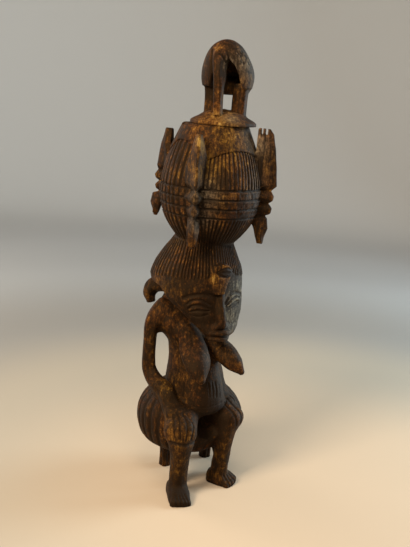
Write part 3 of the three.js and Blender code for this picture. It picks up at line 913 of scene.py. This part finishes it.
def describe(mesh, form, pale_and_painted_shade, dust_and_sheen):
    """Writes the ribs and the belt at each corner of the mesh for the material, how hollow and shaded it is
    there (painted shade in the material), how exposed, how much paler or darker (partly painted shade), and
    its grey dusting and painted cool sheen."""
    def read(name):
        values = np.empty(len(mesh.vertices) * 3, np.float32)
        mesh.vertices.foreach_get(name, values)
        return values.reshape(-1, 3).astype(float)

    points, normals = read("co"), read("normal")
    here = form.distance(points)

    def rise(reach):
        """How fast the distance grows along the normal, 1 on a flat face."""
        return (form.distance(points + reach * normals) - here) / reach

    steep = np.clip(rise(-STEEP_REACH), 0.6, 1)
    small = 1 - rise(SMALL_REACH) / steep
    broad = 1 - rise(BROAD_REACH) / steep
    exposed = 1 - rise(-EDGE_REACH) / steep
    ribs, belt = rib_pattern(points)
    layer = mesh.attributes.new("ribs", "FLOAT_VECTOR", "POINT")
    layer.data.foreach_set("vector", ribs.astype(np.float32).ravel())
    values = {
        "belt": belt,
        # Hollow and shade darken the wood in small and broad hollows: painted shade
        "hollow": np.clip(1.7 * small - 0.1, 0, 1),
        "shade": np.clip(1.2 * broad - 0.1, 0, 1),
        "edge": np.clip(1.6 * exposed - 0.1, 0, 1),
        # Paler ochre spots and the tab, darker engraved lines, and darker spots of painted shade
        "pale_and_painted_shade": spotted(points, pale_and_painted_shade) + on_tab(points) - CUT_DARK * cut_lines(points),
        # Grey dusting and painted cool sheen, kept off the face to her right of the nose
        "dust_and_sheen": np.clip(spotted(points, dust_and_sheen), 0, 1) * step(on_right_of_nose(points), 1, 0),
    }
    for name, value in values.items():
        layer = mesh.attributes.new(name, "FLOAT", "POINT")
        layer.data.foreach_set("value", value.astype(np.float32))


def placed(name, data):
    """A new object in the scene."""
    made = bpy.data.objects.new(name, data)
    bpy.context.scene.collection.objects.link(made)
    return made


def mesh_of(name, form, triangles, pale_and_painted_shade, dust_and_sheen, place):
    """A mesh object of the form with about the given number of triangles."""
    volume, low = sampled(form)
    grid = openvdb.FloatGrid(float(BAND))
    grid.copyFromArray(volume)
    points, faces = grid.convertToQuads(0.0)
    points = low + points.astype(float) * VOXEL
    points, normals = settled(points, form)
    points = points + normals * roughness(points)[:, None]
    points[:, 2] = np.maximum(points[:, 2], 0)
    mesh = bpy.data.meshes.new(name + "_fine")
    mesh.vertices.add(len(points))
    mesh.vertices.foreach_set("co", points.astype(np.float32).ravel())
    mesh.loops.add(faces.size)
    mesh.loops.foreach_set("vertex_index", faces[:, ::-1].astype(np.int32).ravel())
    mesh.polygons.add(len(faces))
    mesh.polygons.foreach_set("loop_start", np.arange(0, faces.size, 4, dtype=np.int32))
    mesh.polygons.foreach_set("loop_total", np.full(len(faces), 4, dtype=np.int32))
    mesh.update(calc_edges=True)
    fine = placed(name + "_fine", mesh)
    thin = fine.modifiers.new("thin", "DECIMATE")
    thin.ratio = triangles / (2 * len(faces))
    bpy.context.view_layer.update()
    depsgraph = bpy.context.evaluated_depsgraph_get()
    result = bpy.data.meshes.new_from_object(fine.evaluated_get(depsgraph))
    bpy.data.objects.remove(fine)
    bpy.data.meshes.remove(mesh)
    result.name = name
    describe(result, form, pale_and_painted_shade, dust_and_sheen)
    piece = placed(name, result)
    result.transform(place)
    result.polygons.foreach_set("use_smooth", np.ones(len(result.polygons), bool))
    return piece


# Materials

def add(tree, kind, values=None, **settings):
    """A new node, with values or links for its inputs and settings for the rest."""
    made = tree.nodes.new(kind)
    for name, value in settings.items():
        setattr(made, name, value)
    for socket, value in (values or {}).items():
        if isinstance(value, bpy.types.NodeSocket):
            tree.links.new(value, made.inputs[socket])
        else:
            made.inputs[socket].default_value = value
    return made.outputs[0]


def noise(tree, coordinates, scale, detail, rough=0.55):
    values = {"Vector": coordinates, "Scale": scale, "Detail": detail, "Roughness": rough}
    return add(tree, "ShaderNodeTexNoise", values)


def weighed(tree, terms, start):
    """The sum of start and each term, a (socket, weight) pair."""
    total = start
    for socket, weight in terms:
        total = add(tree, "ShaderNodeMath", {0: socket, 1: weight, 2: total}, operation="MULTIPLY_ADD")
    return total


WOOD_RAMP = [
    (0, (0.004, 0.0015, 0.0008)), (0.22, (0.03, 0.01, 0.0022)), (0.42, (0.088, 0.034, 0.005)),
    (0.6, (0.16, 0.077, 0.015)), (0.8, (0.25, 0.137, 0.036)), (1, (0.39, 0.245, 0.092)),
]
# Colours of the grey dusting and of the painted cool sheen
DUST_AND_SHEEN_RAMP = [
    (0, (0.015, 0.012, 0.009)), (0.4, (0.15, 0.125, 0.085)), (0.8, (0.31, 0.275, 0.2)),
]


def new_material(name):
    made = bpy.data.materials.new(name)
    made.use_nodes = True
    return made, made.node_tree, made.node_tree.nodes["Principled BSDF"]


def attribute(tree, name, output="Fac"):
    return add(tree, "ShaderNodeAttribute", attribute_name=name).node.outputs[output]


def object_place(tree):
    return add(tree, "ShaderNodeTexCoord").node.outputs["Object"]


def colour_ramp(tree, value, colours):
    ramp = add(tree, "ShaderNodeValToRGB", {0: value}).node
    stops = ramp.color_ramp.elements
    for position, colour in colours[1:-1]:
        stops.new(position)
    for stop, (position, colour) in zip(stops, colours):
        stop.position = position
        stop.color = (*colour, 1)
    return ramp


def math_node(tree, operation, *values):
    return add(tree, "ShaderNodeMath", dict(enumerate(values)), operation=operation)


def rib_lines(tree):
    """Dark lines in the grooves between the ribs, worked out from the ribs attribute."""
    parts = add(tree, "ShaderNodeSeparateXYZ", {0: attribute(tree, "ribs", "Vector")}).node.outputs
    turn = math_node(tree, "ARCTAN2", parts["Y"], parts["X"])
    wave = math_node(tree, "COSINE", math_node(tree, "MULTIPLY", turn, parts["Z"]))
    groove_line = math_node(tree, "POWER", weighed(tree, [(wave, 0.5)], 0.5), RIB_SHARPNESS)
    squares = [(math_node(tree, "POWER", parts[axis], 2.0), 1.0) for axis in "XY"]
    strength = math_node(tree, "SQRT", weighed(tree, squares, 0.0))
    return math_node(tree, "MULTIPLY", groove_line, strength)


def belt_lines(tree, place):
    """Dark level lines around the bowl's belt, from the height in metres and the belt attribute."""
    height = add(tree, "ShaderNodeSeparateXYZ", {0: place}).node.outputs["Z"]
    per_metre = 2 * math.pi / (BELT_PITCH * MM)
    phase = weighed(tree, [(height, per_metre)], -BELT_BOTTOM * MM * per_metre)
    wave = weighed(tree, [(math_node(tree, "COSINE", phase), 0.5)], 0.5)
    lines = math_node(tree, "POWER", wave, float(BELT_SHARPNESS))
    return math_node(tree, "MULTIPLY", lines, attribute(tree, "belt"))


# Half the sum of the four noises' weights
NOISE_MIDDLE = 2.1


def wood(name, start):
    """Handled wood. Its tone is near start where nothing makes it darker or paler."""
    material, tree, shader = new_material(name)
    place = object_place(tree)
    grain_place = add(tree, "ShaderNodeMapping", {"Vector": place, "Scale": (1, 1, 0.18)})
    mottle = noise(tree, place, 34, 6, 0.7)
    blotch = noise(tree, place, 150, 6, 0.75)
    hue = noise(tree, place, 21, 3, 0.5)
    grain = noise(tree, grain_place, 420, 4, 0.6)
    speck = noise(tree, place, 900, 2)
    hollow, shade, edge, pale_and_painted_shade = [attribute(tree, key) for key in ("hollow", "shade", "edge", "pale_and_painted_shade")]
    ribs = rib_lines(tree)
    belts = belt_lines(tree, place)
    # Hollow and shade darken the tone as painted shade, and the paler-or-darker attribute holds painted
    # shade in its darker spots
    tone = weighed(tree, [
        (mottle, 1.0), (blotch, 1.5), (grain, 1.0), (speck, 0.7),
        (hollow, -1.1), (shade, -0.15), (edge, 0.65), (pale_and_painted_shade, 1.0), (ribs, -0.9), (belts, -0.6),
    ], start - NOISE_MIDDLE)
    ramp = colour_ramp(tree, tone, WOOD_RAMP)
    hue = weighed(tree, [(hue, 0.06)], 0.47)
    colour = add(tree, "ShaderNodeHueSaturation", {"Color": ramp.outputs["Color"], "Hue": hue})
    # Towards grey where the surface holds its dusting and painted cool sheen
    dust_and_sheen_colour = colour_ramp(tree, tone, DUST_AND_SHEEN_RAMP).outputs["Color"]
    mixed = tree.nodes.new("ShaderNodeMix")
    mixed.data_type = "RGBA"
    for socket, value in zip((0, 6, 7), (attribute(tree, "dust_and_sheen"), colour, dust_and_sheen_colour)):
        tree.links.new(value, mixed.inputs[socket])
    tree.links.new(mixed.outputs[2], shader.inputs["Base Color"])
    rough = weighed(tree, [(blotch, 0.3), (grain, 0.15), (hollow, 0.3)], 0.2)
    tree.links.new(rough, shader.inputs["Roughness"])
    shader.inputs["Specular IOR Level"].default_value = 0.22
    shader.inputs["Specular Tint"].default_value = (1.0, 0.62, 0.3, 1)
    height = weighed(tree, [(grain, 0.7), (speck, 0.3)], 0.0)
    bump = add(tree, "ShaderNodeBump", {"Height": height, "Strength": 0.9, "Distance": 0.001})
    tree.links.new(bump, shader.inputs["Normal"])
    return material


# Camera and light

FOCAL_PIXELS, IMAGE_WIDTH = 880, 410
CAMERA_AZIMUTH, CAMERA_PITCH, CAMERA_ROLL = math.radians(-36), math.radians(12.4), math.radians(4.5)
CAMERA_DISTANCE, CAMERA_HEIGHT, CAMERA_SIDE = 1190, 568, 4.7


def camera():
    back = Vector((math.sin(CAMERA_AZIMUTH), -math.cos(CAMERA_AZIMUTH), 0))
    right = Vector((math.cos(CAMERA_AZIMUTH), math.sin(CAMERA_AZIMUTH), 0))
    up = Vector((0, 0, 1))
    forward = -back * math.cos(CAMERA_PITCH) - up * math.sin(CAMERA_PITCH)
    above = -back * math.sin(CAMERA_PITCH) + up * math.cos(CAMERA_PITCH)
    side = right * math.cos(CAMERA_ROLL) + above * math.sin(CAMERA_ROLL)
    top = above * math.cos(CAMERA_ROLL) - right * math.sin(CAMERA_ROLL)
    eye = back * CAMERA_DISTANCE + right * CAMERA_SIDE + up * CAMERA_HEIGHT
    eye -= Vector((ORIGIN_X, -ORIGIN_FRONT, 0))
    lens = bpy.data.cameras.new("camera")
    lens.sensor_fit = "HORIZONTAL"
    lens.sensor_width = 36
    lens.lens = FOCAL_PIXELS / IMAGE_WIDTH * lens.sensor_width
    lens.clip_end = 50
    holder = placed("camera", lens)
    turn = Matrix((side, top, -forward)).transposed().to_4x4()
    holder.matrix_world = Matrix.Translation(eye * MM) @ turn
    bpy.context.scene.camera = holder


def area_light(name, place, target, size, power, colour):
    lamp = bpy.data.lights.new(name, "AREA")
    lamp.shape = "RECTANGLE"
    lamp.size, lamp.size_y = size
    lamp.energy = power
    lamp.color = colour
    holder = placed(name, lamp)
    holder.location = place
    holder.rotation_euler = (Vector(target) - Vector(place)).to_track_quat("-Z", "Y").to_euler()
    holder.visible_camera = False


FLOOR_RADIUS, SWEEP_RADIUS, WALL_HEIGHT = 2.2, 0.9, 3.0
FLOOR_SIDES, SWEEP_STEPS = 96, 12
# The floor's colours run outwards from FLOOR_MIDDLE, and end at FLOOR_REACH: a painted warm pool of light
# around the figure that falls off to a darker ring, then grows paler again out to the wall.
FLOOR_REACH = 2.6
FLOOR_MIDDLE = 0.16, -0.12, 0
FLOOR_LIGHT_POOL_RAMP = [
    (0.08, (0.49, 0.368, 0.25)), (0.22, (0.36, 0.3, 0.225)), (0.34, (0.25, 0.228, 0.2)),
    (0.55, (0.37, 0.36, 0.345)), (0.72, (0.42, 0.412, 0.4)), (1, (0.6, 0.59, 0.57)),
]


def floor_mesh():
    """A round floor that curves up into a wall."""
    profile = [(FLOOR_RADIUS * share, 0) for share in (0.25, 0.5, 0.75, 1)]
    for k in range(1, SWEEP_STEPS + 1):
        angle = math.pi / 2 * k / SWEEP_STEPS
        profile.append((FLOOR_RADIUS + SWEEP_RADIUS * math.sin(angle), SWEEP_RADIUS * (1 - math.cos(angle))))
    profile.append((FLOOR_RADIUS + SWEEP_RADIUS, WALL_HEIGHT))
    around = [2 * math.pi * i / FLOOR_SIDES for i in range(FLOOR_SIDES)]
    points = [(r * math.cos(angle), r * math.sin(angle), z) for r, z in profile for angle in around]
    points.insert(0, (0, 0, 0))
    faces = [(0, 1 + i, 1 + (i + 1) % FLOOR_SIDES) for i in range(FLOOR_SIDES)]
    for start in range(1, len(points) - FLOOR_SIDES, FLOOR_SIDES):
        for i in range(FLOOR_SIDES):
            a, b = start + i, start + (i + 1) % FLOOR_SIDES
            faces.append((a, a + FLOOR_SIDES, b + FLOOR_SIDES, b))
    mesh = bpy.data.meshes.new("floor")
    mesh.from_pydata(points, [], faces)
    mesh.polygons.foreach_set("use_smooth", [True] * len(faces))
    return mesh


def floor_material():
    material, tree, shader = new_material("floor_with_painted_light")
    shader.inputs["Roughness"].default_value = 0.7
    values = {0: object_place(tree), 1: FLOOR_MIDDLE}
    away = add(tree, "ShaderNodeVectorMath", values, operation="DISTANCE").node.outputs["Value"]
    # The painted pool of light around the figure and its falloff
    ramp = colour_ramp(tree, math_node(tree, "DIVIDE", away, FLOOR_REACH), FLOOR_LIGHT_POOL_RAMP)
    ramp.color_ramp.interpolation = "EASE"
    tree.links.new(ramp.outputs["Color"], shader.inputs["Base Color"])
    return material


def studio():
    """The floor, a little light from all around, and four soft lamps."""
    floor = placed("floor", floor_mesh())
    floor.data.materials.append(floor_material())
    world = bpy.data.worlds.new("studio")
    world.use_nodes = True
    background = world.node_tree.nodes["Background"]
    background.inputs["Color"].default_value = (1.0, 0.95, 0.88, 1)
    background.inputs["Strength"].default_value = 0.24
    bpy.context.scene.world = world
    bpy.context.scene.view_settings.view_transform = "Standard"
    area_light("window", (1.6, -0.35, 0.75), (0, 0, 0.35), (0.9, 1.4), 46, (0.66, 0.86, 1.0))
    area_light("ceiling", (-0.6, -0.9, 1.9), (0, 0, 0.35), (0.9, 0.9), 18, (1.0, 0.93, 0.82))
    area_light("lamp", (-1.5, -0.5, 1.2), (0, 0, 0.32), (0.6, 0.6), 50, (1.0, 0.88, 0.72))
    area_light("back", (-0.55, 1.5, 0.8), (0, 0, 0.3), (0.8, 1.0), 10, (1.0, 0.94, 0.86))


def place_of(x, front, turn):
    """Where a form modelled about its own middle goes, in metres in the frame."""
    shift = Matrix.Translation(Vector((x - ORIGIN_X, ORIGIN_FRONT - front, 0)) * MM)
    return shift @ Matrix.Rotation(-math.radians(turn), 4, "Z") @ Matrix.Scale(MM, 4)


camera()
studio()

# Each row: strength, radius, x, front, height
# Paler ochre spots, and darker spots of painted shade on the lap, belly, cheek, breast, forehead, lower
# shin, foot and under the bowl
FIGURE_PALE_AND_PAINTED_SHADE = [
    [0.45, 10, -57, 53, 491], [0.2, 16, -62, 48, 455], [0.15, 60, 0, 60, 500], [-0.12, 18, -26, 54, 300],
    [-0.15, 30, 0, 50, 360], [-0.25, 24, -28, 46, 262], [-0.3, 22, 0, 52, 142],
    [-0.15, 20, -30, 54, 205], [-0.4, 20, -56, 68, 6], [-0.2, 20, -48, 56, 30], [-0.6, 24, 0, 52, 100],
    [0.12, 24, -50, 62, 102], [0.12, 34, -46, 56, 52], [0.12, 26, 33, 50, 85],
]
# Grey dusting, and a painted cool sheen where the faces turn towards the window light
FIGURE_DUST_AND_SHEEN = [
    [1.2, 22, 20, 50, 254], [0.9, 20, 30, 46, 270], [0.9, 16, 24, 50, 300], [0.8, 20, 36, 42, 292],
    [0.3, 13, -18, 58, 205], [0.5, 18, -46, 56, 425], [0.7, 14, -47, 54, 388], [0.5, 20, 36, 46, 490],
    [0.3, 20, 30, 68, 440],
]
# Paler ochre spots, and darker spots of painted shade such as on the bird's right flank
LID_PALE_AND_PAINTED_SHADE = [
    [0.32, 30, 0, 40, 520], [0.3, 10, -8, 26, 608], [-0.12, 18, -4, 38, 578], [-0.08, 16, 0, 38, 548],
    [-0.15, 18, -22, 18, 575], [-0.18, 14, -19, 2, 548],
]
# Grey dusting, and a painted cool sheen where the faces turn towards the window light
LID_DUST_AND_SHEEN = [
    [0.5, 20, 26, 10, 592], [0.6, 10, 8, 27, 588], [0.3, 16, -28, 2, 585], [0.3, 10, 2, 0, 612],
    [0.3, 12, 20, 28, 520],
]

figure = mesh_of(
    "carved_figure", seated_figure(), FIGURE_TRIANGLES, FIGURE_PALE_AND_PAINTED_SHADE, FIGURE_DUST_AND_SHEEN, place_of(0, 0, 0))
figure.data.materials.append(wood("carved_wood", 0.69))
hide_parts("seated_figure")
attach(figure, "root")

lid = mesh_of("carved_lid", bird_lid(), LID_TRIANGLES, LID_PALE_AND_PAINTED_SHADE, LID_DUST_AND_SHEEN,
              place_of(BOWL_X + LID_SHIFT_X, BOWL_FRONT + LID_SHIFT_FRONT, BIRD_TURN))
lid.data.materials.append(wood("lid_wood", 0.7))
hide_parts("bird_lid")
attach(lid, "root")
